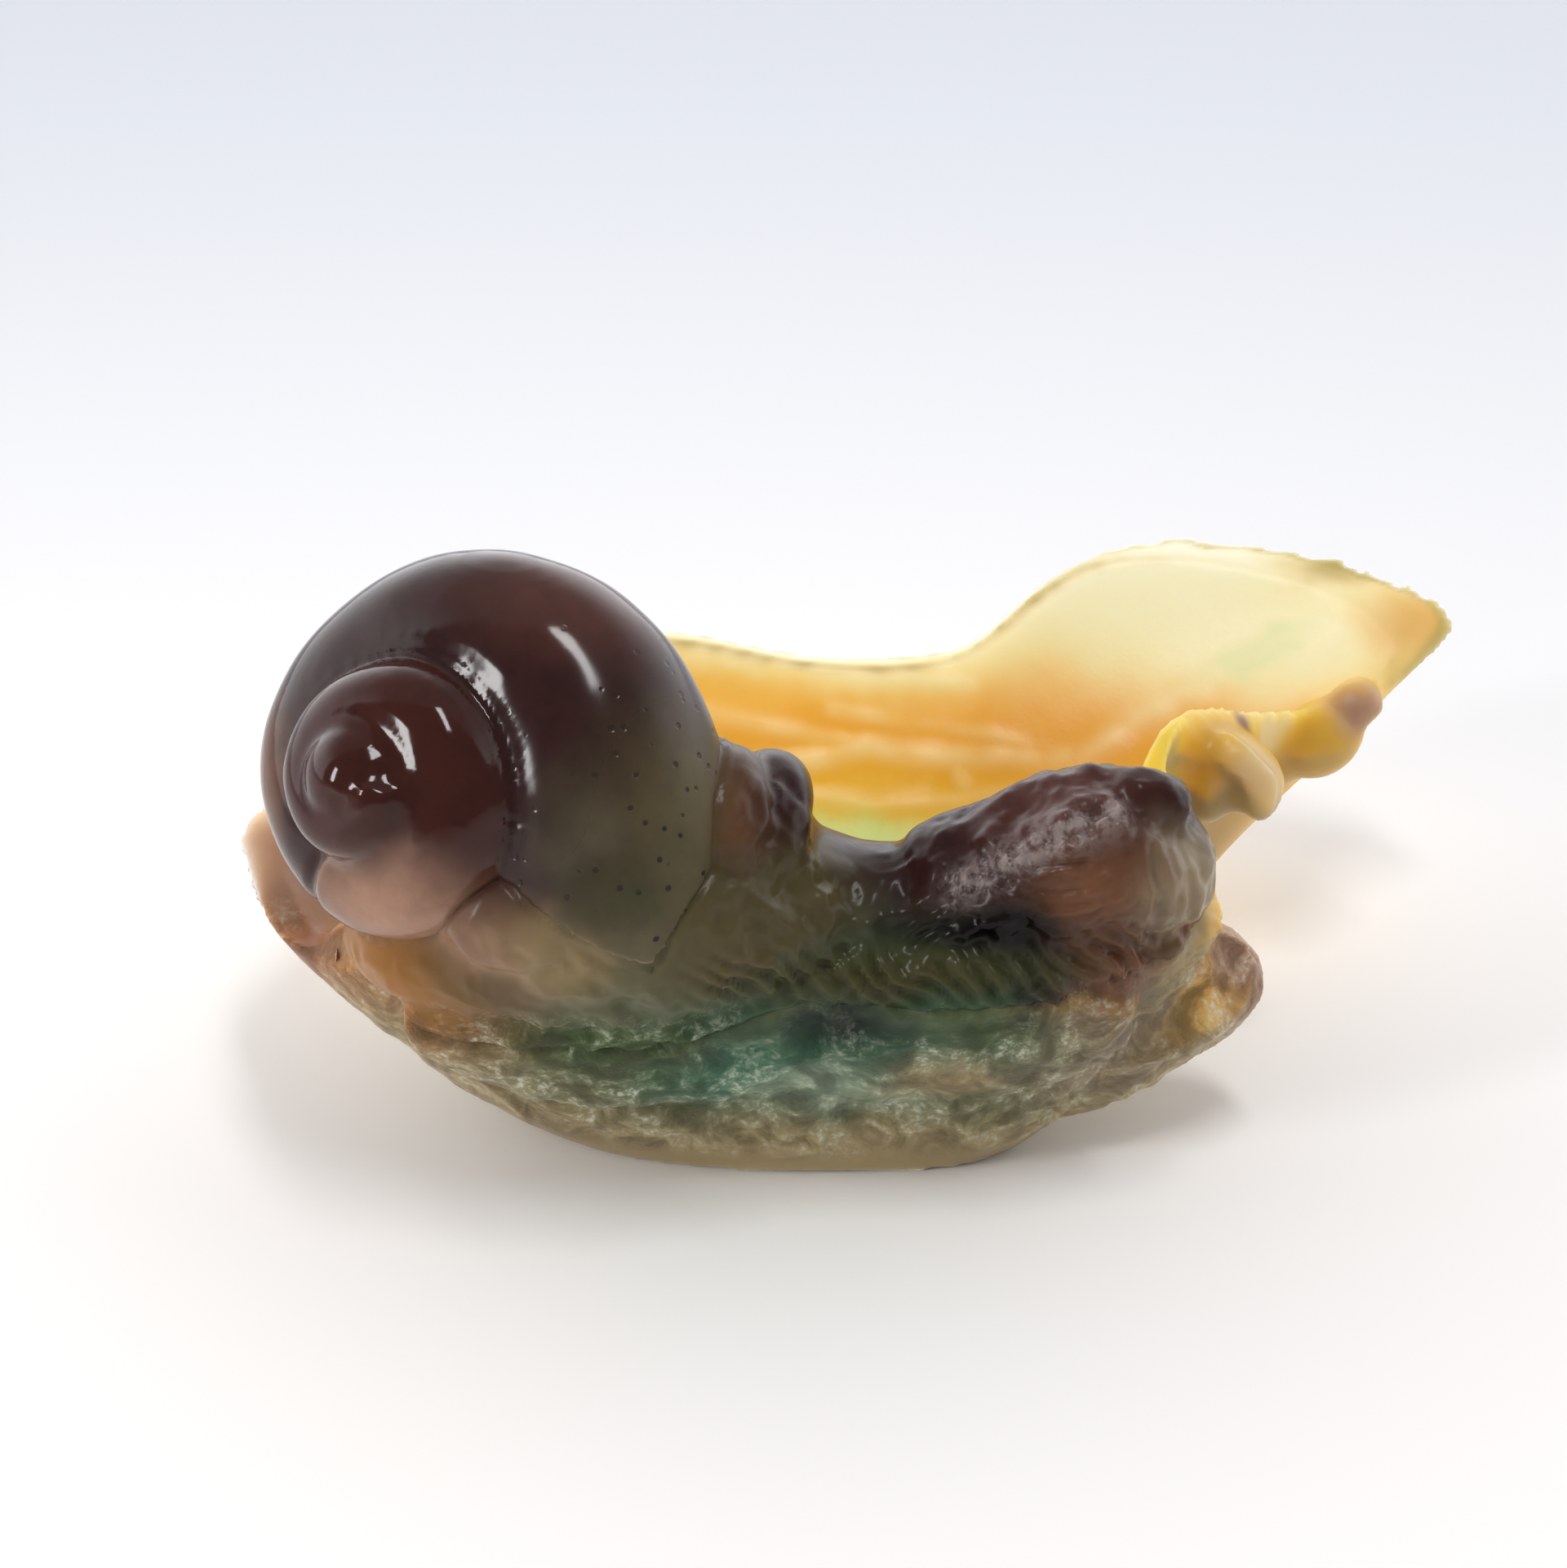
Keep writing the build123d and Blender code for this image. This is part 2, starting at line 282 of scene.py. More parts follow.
THUMB_DENTS = [
    ((2, -30, 25), (8, 6, 3.5), 1.5), ((-9, -29, 22), (6, 6, 4), 0.9), ((17, -29, 25), (6, 5, 3.5), 1.1),
    ((24, -27, 22), (5, 5, 4), 0.9), ((-20, -29, 20), (8, 6, 4), 0.8), ((-56, -15, 27), (5, 6, 4), 1.1),
    ((-62, -4, 30), (4, 6, 4), 0.9), ((-46, -22, 24), (7, 5, 3), 0.8), ((-33, -26, 19), (6, 5, 3), 0.6),
    ((-18, -38, 40), (5, 5, 4), 0.8), ((8, -30, 20), (6, 5, 2.5), 0.8), ((-2, -27, 17), (7, 5, 2.5), 0.7),
]
WAX_PADS = [
    ((28, -13, 12.5), (23, 9.5, 8), (0, -25, 0)),
    ((-20, -27.5, 23.5), (26, 5, 13), (17, 0, 0)),
    ((9, -27, 23.5), (24, 4.5, 12), (17, 0, 0)),
    ((-22, -30, 39), (17, 8.4, 9), (0, 0, 0)),
    ((-11, -24, 46), (6, 9, 8), (0, 0, 0)),
    ((45, 8, 34), (3, 4, 5), (0, 0, 0)),
    ((61.5, 25.5, 31.5), (7, 4, 5), (0, 0, 40)),
    ((32.5, -21.5, 46.8), (5.5, 4.5, 3.8), (0, 0, 0)),
    ((-52, -15, 26), (5, 3, 3.5), (0, 0, 0)),
    ((-31.5, -35.5, 41), (8, 4.1, 5.5), (0, 0, 0)),
]
LIP_FOLD = [(46.2, 7, 40.4), (49.5, 4.5, 38.8), (51.5, 4.4, 36.5), (50.5, 3.5, 33)]
LIP_HOLLOW = (47.5, 3.0, 36.0)
FRILL = [(-10, -36, 33), (-1.5, -33, 32.5), (8, -33, 31.5), (16, -33, 31.5), (24, -32, 32), (32, -28, 33)]
BROKEN_BAND = [(29, -26.5, 47.8), (25, -28, 46.8), (21.9, -28.5, 45.6), (19.4, -28.8, 44.3),
               (16, -28.9, 42.6), (13, -29, 40.6)]
BAND_HOLES = [(15.0, -28.9, 42.0), (16.6, -28.8, 42.9)]
MOUTH_SLIT = [(20.6, -29.4, 44.0), (23, -30.2, 44.6), (26, -30.6, 44.6)]
STALK_CURL = [(23.5, -27.3, 47.2), (25.3, -26, 48.2), (27.5, -25.2, 48.7), (29.4, -26, 48.1),
              (29.6, -27.6, 47.2), (28, -28.6, 46.9)]
CURL_HOLLOW = (27.2, -27.0, 47.6)
CHEEK_FOLDS = [
    [(31.5, -28.5, 45.5), (32.5, -29.4, 40), (32, -29.3, 35)],
    [(33.5, -27.6, 44.5), (34.8, -28.6, 40), (34.5, -28.8, 36)],
    [(35.3, -26.9, 43.6), (36.4, -27.6, 40), (36.2, -27.9, 36.5)],
    [(37, -26, 42.5), (38.2, -26.4, 39), (38, -26.6, 36)],
]
PITS = [((19.6, -31.6, 38.7), 1.5), ((19.5, -31.3, 36.1), 1.0), ((21.2, -31.4, 36.2), 1.2),
        ((38.5, -23.9, 33), 1.6)]
BACK_BUMPS = [((19, -20.5, 47.1), 2.0), ((23.4, -19.2, 48.9), 2.2), ((27, -19, 50), 1.8),
              ((16.7, -25, 45.2), 1.6), ((31, -22, 49), 2.2), ((12, -22, 43), 2.0)]
LEAF_TIP = ((80, 42, 41), (5, 5, 5))
FAR_RIM = ((69, 49, 45), (12, 6, 4))
HEAD_SKIN = ((26, -25, 41), (16, 14, 11))
THROAT_ARCHES = ((24, -31, 40), (7, 5, 3.5))
NECK_SLASHES = ((12, -30, 36), (11, 5, 3.5))
CLEAR_POOL = ((3, -29, 26), (11, 7, 4.5))


def vein_share(places, normals):
    inside = step(normals[:, 2], 0.15, 0.45) * step(places[:, 1], -14, -6)
    veins = ridge(places, MIDRIB, 1.7)
    for points in SIDE_VEINS:
        veins = np.maximum(veins, 0.7 * ridge(places, points, 1.2))
    return np.clip(veins * inside * (0.75 + 0.5 * waves(places, 6.0, 2)), 0, 1)


def outer_wall_share(places, normals):
    return step(-normals[:, 1], 0.1, 0.5) * step(-places[:, 1], 2, 12) * step(places[:, 2], 1.5, 6)


def band_share(places, normals):
    return ridge(places, BROKEN_BAND, 1.6, 0.6) * step(-normals[:, 1], 0.0, 0.4)


def wax_relief(places, normals):
    along, up = places[:, 0], places[:, 2]
    wander = waves(places, 7.0, 2)
    facing = step(-normals[:, 1], 0.0, 0.4)
    head = near(places, *HEAD_SKIN)
    wall = outer_wall_share(places, normals) * (1 - head) * (0.35 + 0.65 * step(along, -45, -22))
    rise = 0.5 * vein_share(places, normals) + 0.3 * waves(places, 22.0, 2) * step(up, 3, 10)
    rise += wall * (0.6 - 1.6 * np.abs(waves(places, 8.0, 2)) - 0.6 * np.abs(waves(places, 3.2, 2)))
    for centre, radii, depth in THUMB_DENTS:
        rise -= depth * near(places, centre, radii)
    rise += 1.0 * near(places, *LEAF_TIP)
    rise += 0.8 * ridge(places, LIP_FOLD, 1.1) - 1.0 * near(places, LIP_HOLLOW, (2.2, 3.5, 3))
    rise += 0.9 * near(places, *FAR_RIM)
    folds = np.sin((along + 0.9 * up) * 2.1 + 4.0 * wander)
    rise += 0.55 * ridge(places, FRILL, 4.2) * facing * folds
    arches = np.sin((up - 0.05 * (along - 24) ** 2) * 4.5 + 2 * wander)
    rise += 0.18 * near(places, *THROAT_ARCHES) * arches
    slashes = np.sin((up - 0.45 * along) * 2.2 + 4 * wander)
    rise += 0.4 * near(places, *NECK_SLASHES) * facing * slashes
    rise += 1.2 * head * waves(places, 4.5, 3)
    rise += band_share(places, normals) * (0.2 + 0.9 * waves(places, 2.0, 3))
    rise -= 1.1 * ridge(places, MOUTH_SLIT, 0.65, 0.2)
    rise += 1.2 * ridge(places, STALK_CURL, 0.95, 0.25) - 1.0 * near(places, CURL_HOLLOW, (1.2, 4, 1.2))
    for points in CHEEK_FOLDS:
        rise += 0.6 * ridge(places, points, 0.7, 0.25)
    for centre, radius in PITS:
        rise -= 1.1 * near(places, centre, (radius, 4, radius))
    for centre in BAND_HOLES:
        rise -= 1.3 * near(places, centre, (0.9, 4, 0.9))
    for centre, radius in BACK_BUMPS:
        rise += 0.6 * near(places, centre, (radius, radius, radius))
    return rise


# Shell wax is kept only low down and at the collar, where the body rises to meet it
SHELL_BED = ((-8, 0, 60), (-0.53, 0, 0.85))


# One skin for leaf and snail, its distances to the CAD pieces, and the masks that the glass reads
def wax_body(name, voxel):
    shell = wax_copy("wax", SHELL_NODES[:2])
    trim(shell, *SHELL_BED)
    pads = [wax_swelling(*pad) for pad in WAX_PADS]
    body = joined(name, [wax_copy(name, LEAF_NODES + SNAIL_NODES), shell] + pads)
    cast(body, voxel, BODY_FILLET, BODY_ROUNDS)
    places, normals = surface(body)
    to_leaf = off_nodes(places, LEAF_NODES)
    to_snail = off_nodes(places, SNAIL_NODES)
    to_shell = off_nodes(places, SHELL_NODES)
    push(body, wax_relief(places, normals) * (0.1 + 0.9 * step(to_shell, 0.3, 3)))
    keep_mask(body, "wall", outer_wall_share(places, normals))
    keep_mask(body, "edge", edge_share(body, places, normals) * step(places[:, 1], 26, 38))
    keep_mask(body, "veins", vein_share(places, normals))
    frost = outer_wall_share(places, normals) * (1 - step(places[:, 2], 24, 31))
    keep_mask(body, "frost", frost * (1 - near(places, *CLEAR_POOL)))
    keep_mask(body, "broken", band_share(places, normals))
    keep_mask(body, "hull", step(-normals[:, 2], -0.15, 0.2) * (1 - step(places[:, 1], 8, 34)))
    return body, to_leaf, to_snail, to_shell


# Takes the stair steps off the far rim
def soften_rim(leaf):
    places, normals = surface(leaf)
    shares = edge_share(leaf, places, normals) * step(places[:, 1], 20, 30)
    rim = leaf.vertex_groups.new(name="rim")
    for spot in np.flatnonzero(shares > 0.05).tolist():
        rim.add([spot], shares[spot], "REPLACE")
    work(leaf, "SMOOTH", factor=0.5, iterations=8, vertex_group="rim")
    leaf.vertex_groups.clear()


# Leaf: the whole wax, sunk a little where the snail and the shell cover it
def make_leaf():
    leaf, to_leaf, to_snail, to_shell = wax_body("leaf", LEAF_VOXEL)
    settle(leaf, LEAF_ROUNDS)
    soften_rim(leaf)
    covered = step(to_leaf - np.minimum(to_snail, to_shell), 1, 3) * (1 + 2 * step(to_leaf, 2, 5))
    push(leaf, -LAP * covered)
    return leaf


# Snail: the wax near it, sunk a little where the leaf and the shell cover it
SNAIL_ROOM = ((-54, -60, 22), (41, -2, 80))


def make_snail():
    snail, to_leaf, to_snail, to_shell = wax_body("snail", SNAIL_VOXEL)
    covered = step(to_snail - to_leaf, -3, -1) * (1 + 2 * step(to_snail, 1, 3))
    covered = np.maximum(covered, 1 - step(to_shell, 0.2, 0.6))
    push(snail, -LAP * covered)
    keep_within(snail, *SNAIL_ROOM)
    return snail


# Shell: polished, with shallow sutures, and left as cast on the flank
SHELL_FLANK = ((-15, -33, 50), (11, 14, 15))
SHELL_LEFT = ((-64, -18, 50), (8, 20, 18))
SUTURE_WIDTH = 0.8


def make_shell():
    shell = wax_copy("shell", SHELL_NODES)
    cast(shell, SHELL_VOXEL, SHELL_FILLET, SHELL_ROUNDS)
    places = surface(shell)[0]
    past_suture = off_nodes(places, SHELL_NODES[:1]) - off_nodes(places, SHELL_NODES[1:])
    to_body = off_nodes(places, LEAF_NODES + SNAIL_NODES)
    suture = np.exp(-((past_suture / SUTURE_WIDTH) ** 2)) * step(to_body, 0, 4)
    left = near(places, *SHELL_LEFT)
    push(shell, 0.25 * waves(places, 13.0, 2) - 0.15 + 2.0 * left - 0.5 * suture)
    spire = step(past_suture, -0.4, 0.8)
    polished = step(to_body, 0.5, 9) * (1 - near(places, *SHELL_FLANK))
    keep_mask(shell, "spire", spire)
    keep_mask(shell, "flank", (1 - polished) * (1 - spire))
    return shell


# Materials
def linear(hex_colour):
    shares = [int(hex_colour[i:i + 2], 16) / 255 for i in (1, 3, 5)]
    return [s / 12.92 if s <= 0.04045 else ((s + 0.055) / 1.055) ** 2.4 for s in shares] + [1.0]


def add(tree, kind, settings, inputs):
    node = tree.nodes.new(kind)
    for name, value in settings.items():
        setattr(node, name, value)
    for name, value in inputs.items():
        if isinstance(value, bpy.types.NodeSocket):
            tree.links.new(value, node.inputs[name])
        else:
            node.inputs[name].default_value = value
    return node


# Glass colours of the frit, except the mauve painted reflection of the pale floor, the greenish silver painted
# sheen, the pale painted sparkle highlights on the frost and the near-black painted shade in the pits
HONEY = "#e8b53e"
AMBER = "#e6c810"
ORANGE = "#f3c25c"
CREAM = "#fdeac4"
STRAW = "#fbe8c0"
MINT = "#d2e08e"
AQUA = "#dbe4b8"
OLIVE = "#c49c3c"
LEAF_GREEN = "#b0a443"
KHAKI = "#9a8a48"
TAN = "#c8ac80"
TIP_TAN = "#cfa25c"
MOSS = "#46592f"
PEAT = "#423f22"
BOTTLE = "#33583e"
SEA = "#48735a"
DEEP_TEAL = "#04160e"
SILVER_SHEEN = "#8b9c84"
BEIGE = "#94836a"
SAND = "#a3906a"
GREY_SAND = "#8c7a56"
DRAB = "#66634a"
ROSE = "#a28068"
RUSSET = "#9a6a4c"
CARAMEL = "#94632a"
UMBER = "#6e4a34"
AMETHYST = "#2e1614"
MAROON = "#3a1710"
PLUM = "#4c2a22"
MAUVE_FLOOR_REFLECTION = "#a07a64"
SLATE = "#564c30"
NIGHT = "#060303"
FROST_SPARKLE = "#c3c6b4"
SCAR_GREY = "#8f817d"
PIT_SHADE = "#1c1712"

# Charges melt into each other over most of their radius, and the melt stirred them by a few millimetres
CHARGE_SPREAD = 1.22
CHARGE_EDGE = 0.85
STIR_SIZE = 9.0
STIR_REACH = 6.0

# Colour charges: the place, the radii and the colour of each batch of frit that was laid in the mould, and of a
# few patches of painted sheen and painted reflection
WALL_CHARGES = [
    ((-63, -5, 30), (18, 20, 14), ROSE),
    ((-57, -15, 26), (10, 10, 8), RUSSET),
    ((-46, -27, 29), (23, 16, 16), CARAMEL),
    ((-33, -25, 15), (22, 14, 13), GREY_SAND),
    ((-20, -34, 34), (24, 12, 12), DRAB),
    # Painted reflection of the pale floor, on the flank under the low side of the spire
    ((-33, -35, 39), (9, 8, 7), MAUVE_FLOOR_REFLECTION),
    ((0, -27, 20), (40, 15, 24), BOTTLE),
    ((-23, -30, 24), (13, 9, 9), MOSS),
    ((-27, -37, 39), (10, 7, 7), GREY_SAND),
    ((-10, -36, 37), (11, 7, 7), SLATE),
    ((-10, -27, 18), (12, 7, 7), SEA),
    # Painted greenish silver sheen, a patch on the lower near wall
    ((1, -26, 15), (13, 7, 6), SILVER_SHEEN),
    ((13, -26, 17), (10, 7, 6), SAND),
    ((2, -29, 26), (10, 7, 5), DEEP_TEAL),
    ((17, -28, 25), (8, 6, 5), MOSS),
    ((21, -29, 28), (5, 5, 5), NIGHT),
    ((30, -28, 29), (9, 8, 8), UMBER),
    ((31, -23, 19), (14, 10, 10), BEIGE),
    ((39.5, -22, 36), (6, 9, 9), GREY_SAND),
    ((-4, -23, 1), (48, 16, 12), SAND),
    ((46, -14, 23), (10, 8, 12), ROSE),
]
LEAF_CHARGES = [
    ((2, 24, 13), (50, 22, 16), AMBER),
    ((40, 49, 43), (52, 18, 20), CREAM),
    ((-4, 46, 37), (36, 9, 9), STRAW),
    ((-14, 40, 30), (14, 6, 5), ORANGE),
    ((3, 30, 15), (22, 7, 4.5), MINT),
    ((56, 41, 37), (26, 13, 9), CREAM),
    ((70, 50, 45), (14, 5, 4), KHAKI),
    ((53, 39.2, 34.8), (4, 3.5, 3.2), AQUA),
    ((56, 40.3, 36.6), (4, 3.5, 3.2), AQUA),
    ((59, 41.5, 38.5), (4, 3.5, 3.2), AQUA),
    ((81, 42, 40), (14, 11, 9), TIP_TAN),
    ((47, 10, 35), (18, 15, 15), OLIVE),
    ((39, 2, 38), (3.5, 5, 6), LEAF_GREEN),
    ((60, 23, 32), (10, 8, 7), OLIVE),
    ((50, 15, 39.5), (2.5, 2, 2), UMBER),
    ((67, 25, 35.5), (7, 6, 5), ROSE),
    ((49.5, 4.5, 36.5), (6, 6, 6.5), TAN),
]
FLANK_CHARGES = [
    ((-15, -34, 52), (12, 14, 18), SLATE),
    ((-26, -37, 52), (6, 7, 7), DRAB),
    ((-22, -40, 45), (8, 7, 6), PEAT),
    ((-9, -26, 48), (5, 9, 8), UMBER),
]
SNAIL_CHARGES = WALL_CHARGES + FLANK_CHARGES + [
    ((12, -25, 44), (24, 16, 12), AMETHYST),
    ((-4, -28, 40), (9, 9, 8), SLATE),
    ((24, -24, 48), (13, 11, 6), PLUM),
    ((5, -32, 31.5), (24, 5, 4), PEAT),
    ((28, -30, 41), (10, 8, 8), UMBER),
    ((36, -27, 40), (6, 7, 8), BEIGE),
    ((38, -23, 33), (4, 4, 4), UMBER),
    ((16, -31, 36.5), (12, 4, 3.5), NIGHT),
    ((19, -31.5, 37.5), (5, 3, 4), NIGHT),
    ((-5, -24, 50), (6, 9, 7), AMETHYST),
]
WHORL_CHARGES = [
    ((-22, -22, 71), (20, 14, 7), PLUM),
    ((-62, -20, 50), (7, 14, 14), UMBER),
]
SPIRE_CHARGES = [
    # Painted reflection of the pale floor, on the low side of the spire
    ((-43, -37, 40), (20, 12, 10), MAUVE_FLOOR_REFLECTION),
    ((-62, -24, 50), (7, 12, 14), UMBER),
]


def stirred_places(tree):
    coordinates = add(tree, "ShaderNodeTexCoord", {}, {})
    place = add(tree, "ShaderNodeVectorMath", {"operation": "SCALE"},
                {0: coordinates.outputs["Object"], "Scale": 1 / MM})
    wander = add(tree, "ShaderNodeTexNoise", {},
                 {"Vector": place.outputs[0], "Scale": 1 / STIR_SIZE, "Detail": 2.0})
    centred = add(tree, "ShaderNodeVectorMath", {"operation": "SUBTRACT"},
                  {0: wander.outputs["Color"], 1: (0.5, 0.5, 0.5)})
    shift = add(tree, "ShaderNodeVectorMath", {"operation": "SCALE"},
                {0: centred.outputs[0], "Scale": STIR_REACH})
    stirred = add(tree, "ShaderNodeVectorMath", {"operation": "ADD"},
                  {0: place.outputs[0], 1: shift.outputs[0]})
    return place.outputs[0], stirred.outputs[0]


def charged(tree, stirred, colour, charges):
    for centre, radii, tint in charges:
        spread = [radius * CHARGE_SPREAD for radius in radii]
        local = add(tree, "ShaderNodeMapping", {"vector_type": "TEXTURE"},
                    {"Vector": stirred, "Location": centre, "Scale": spread})
        ball = add(tree, "ShaderNodeTexGradient", {"gradient_type": "SPHERICAL"},
                   {"Vector": local.outputs[0]})
        soft = add(tree, "ShaderNodeMapRange", {"interpolation_type": "SMOOTHSTEP"},
                   {"Value": ball.outputs["Fac"], "From Max": CHARGE_EDGE})
        mix = add(tree, "ShaderNodeMix", {"data_type": "RGBA"},
                  {"Factor": soft.outputs[0], 6: colour, 7: linear(tint)})
        colour = mix.outputs[2]
    return colour


def new_material(name):
    material = bpy.data.materials.new(name)
    material.use_nodes = True
    tree = material.node_tree
    return material, tree, tree.nodes["Principled BSDF"]


# Kiln-cast lead glass straight from the mould: smooth inside, and frosted where the plaster
# of the mould bit into the outer wall, with painted silvery sparkle highlights in its colour there
def frosted_leaf_glass():
    material, tree, glass = new_material("kiln cast frosted glass")
    place, stirred = stirred_places(tree)
    dish = charged(tree, stirred, linear(HONEY), LEAF_CHARGES)
    veins = add(tree, "ShaderNodeAttribute", {"attribute_name": "veins"}, {})
    pale = add(tree, "ShaderNodeMath", {"operation": "MULTIPLY"}, {0: veins.outputs["Fac"], 1: 0.6})
    veined = add(tree, "ShaderNodeMix", {"data_type": "RGBA"},
                 {"Factor": pale.outputs[0], 6: dish, 7: linear(STRAW)})
    edge = add(tree, "ShaderNodeAttribute", {"attribute_name": "edge"}, {})
    thin = add(tree, "ShaderNodeMath", {"operation": "MULTIPLY"}, {0: edge.outputs["Fac"], 1: 0.8})
    rimmed = add(tree, "ShaderNodeMix", {"data_type": "RGBA"},
                 {"Factor": thin.outputs[0], 6: veined.outputs[2], 7: linear(KHAKI)})
    hull = add(tree, "ShaderNodeAttribute", {"attribute_name": "hull"}, {})
    sanded = add(tree, "ShaderNodeMix", {"data_type": "RGBA"},
                 {"Factor": hull.outputs["Fac"], 6: rimmed.outputs[2], 7: linear(SAND)})
    colour = charged(tree, stirred, sanded.outputs[2], WALL_CHARGES)
    finish_frost(tree, glass, place, colour, 0.34)
    glass.inputs["Subsurface Weight"].default_value = 0.85
    glass.inputs["Subsurface Radius"].default_value = (1.0, 0.95, 0.85)
    glass.inputs["Specular IOR Level"].default_value = 0.22
    glass.inputs["IOR"].default_value = 1.52
    cloudy = add(tree, "ShaderNodeAttribute", {"attribute_name": "wall"}, {})
    depth = add(tree, "ShaderNodeMapRange", {},
                {"Value": cloudy.outputs["Fac"], "To Min": 12 * MM, "To Max": 2 * MM})
    tree.links.new(depth.outputs[0], glass.inputs["Subsurface Scale"])
    return material


# Plaster bite: frosted grains under a millimetre across, in drifts of a few millimetres, with painted silvery
# sparkle highlights in the drifts
GRAIN_SIZE = 0.8
DRIFT_SIZE = 6.0
LUMP_SIZE = 3.0


def finish_frost(tree, glass, place, colour, smooth_roughness):
    frost = add(tree, "ShaderNodeAttribute", {"attribute_name": "frost"}, {})
    grain = add(tree, "ShaderNodeTexNoise", {},
                {"Vector": place, "Scale": 1 / GRAIN_SIZE, "Detail": 3.0, "Roughness": 0.7})
    drift = add(tree, "ShaderNodeTexNoise", {},
                {"Vector": place, "Scale": 1 / DRIFT_SIZE, "Detail": 4.0, "Roughness": 0.65, "Distortion": 0.8})
    lumps = add(tree, "ShaderNodeTexNoise", {},
                {"Vector": place, "Scale": 1 / LUMP_SIZE, "Detail": 3.0, "Roughness": 0.55})
    drifted = add(tree, "ShaderNodeMapRange", {"interpolation_type": "SMOOTHSTEP"},
                  {"Value": drift.outputs["Fac"], "From Min": 0.46, "From Max": 0.66})
    grained = add(tree, "ShaderNodeMapRange", {"interpolation_type": "SMOOTHSTEP"},
                  {"Value": grain.outputs["Fac"], "From Min": 0.42, "From Max": 0.68,
                   "To Min": 0.05, "To Max": 0.85})
    both = add(tree, "ShaderNodeMath", {"operation": "MULTIPLY"},
               {0: drifted.outputs[0], 1: grained.outputs[0]})
    sparkle_and_frost = add(tree, "ShaderNodeMath", {"operation": "MULTIPLY"},
                   {0: both.outputs[0], 1: frost.outputs["Fac"]})
    # Painted sparkle highlights: the colour is pushed to pale silver on the grains in the drifts of the frost
    tint = add(tree, "ShaderNodeMix", {"data_type": "RGBA"},
               {"Factor": sparkle_and_frost.outputs[0], 6: colour, 7: linear(FROST_SPARKLE)})
    depths = add(tree, "ShaderNodeMapRange", {"interpolation_type": "SMOOTHSTEP"},
                 {"Value": drift.outputs["Fac"], "From Min": 0.36, "From Max": 0.6,
                  "To Min": 0.55, "To Max": 1.15})
    veil = add(tree, "ShaderNodeMix", {}, {"Factor": frost.outputs["Fac"], "A": 1.0, "B": depths.outputs[0]})
    clouded = add(tree, "ShaderNodeVectorMath", {"operation": "SCALE"},
                  {0: tint.outputs[2], "Scale": veil.outputs[0]})
    tree.links.new(clouded.outputs[0], glass.inputs["Base Color"])
    rough = add(tree, "ShaderNodeMapRange", {},
                {"Value": sparkle_and_frost.outputs[0], "To Min": smooth_roughness, "To Max": 0.6})
    tree.links.new(rough.outputs[0], glass.inputs["Roughness"])
    depth = add(tree, "ShaderNodeMath", {"operation": "MULTIPLY"},
                {0: grain.outputs["Fac"], 1: frost.outputs["Fac"]})
    height = add(tree, "ShaderNodeMath", {"operation": "MULTIPLY_ADD"},
                 {0: lumps.outputs["Fac"], 1: 0.35, 2: depth.outputs[0]})
    bump = add(tree, "ShaderNodeBump", {},
               {"Strength": 0.5, "Distance": 0.5 * MM, "Height": height.outputs[0]})
    tree.links.new(bump.outputs[0], glass.inputs["Normal"])


# The same glass on the snail, fire-finished so that it looks wet, with a broken grey scar along the head
CRUMB_SIZE = 1.6


def wet_snail_glass():
    material, tree, glass = new_material("kiln cast satin glass")
    place, stirred = stirred_places(tree)
    colour = charged(tree, stirred, linear(AMETHYST), SNAIL_CHARGES)
    broken = add(tree, "ShaderNodeAttribute", {"attribute_name": "broken"}, {})
    crumbs = add(tree, "ShaderNodeTexNoise", {},
                 {"Vector": place, "Scale": 1 / CRUMB_SIZE, "Detail": 3.0, "Roughness": 0.65})
    chipped = add(tree, "ShaderNodeMapRange", {"interpolation_type": "SMOOTHSTEP"},
                  {"Value": crumbs.outputs["Fac"], "From Min": 0.38, "From Max": 0.62, "To Min": 0.15})
    scar = add(tree, "ShaderNodeMath", {"operation": "MULTIPLY"},
               {0: chipped.outputs[0], 1: broken.outputs["Fac"]})
    scarred = add(tree, "ShaderNodeMix", {"data_type": "RGBA"},
                  {"Factor": scar.outputs[0], 6: colour, 7: linear(SCAR_GREY)})
    finish_frost(tree, glass, place, scarred.outputs[2], 0.26)
    glass.inputs["Subsurface Weight"].default_value = 0.6
    glass.inputs["Subsurface Radius"].default_value = (1.0, 0.8, 0.7)
    glass.inputs["Subsurface Scale"].default_value = 1.5 * MM
    glass.inputs["Specular IOR Level"].default_value = 0.15
    glass.inputs["IOR"].default_value = 1.52
    return material


# Amethyst glass, ground and polished: mirror reflections over a deep cloudy body, with small pits
# and bubbles on the flank that the polishing wheel did not reach, coloured near-black as painted shade in them
CLOUD_SIZE = 4.0
BUBBLE_SPACING = 2.2


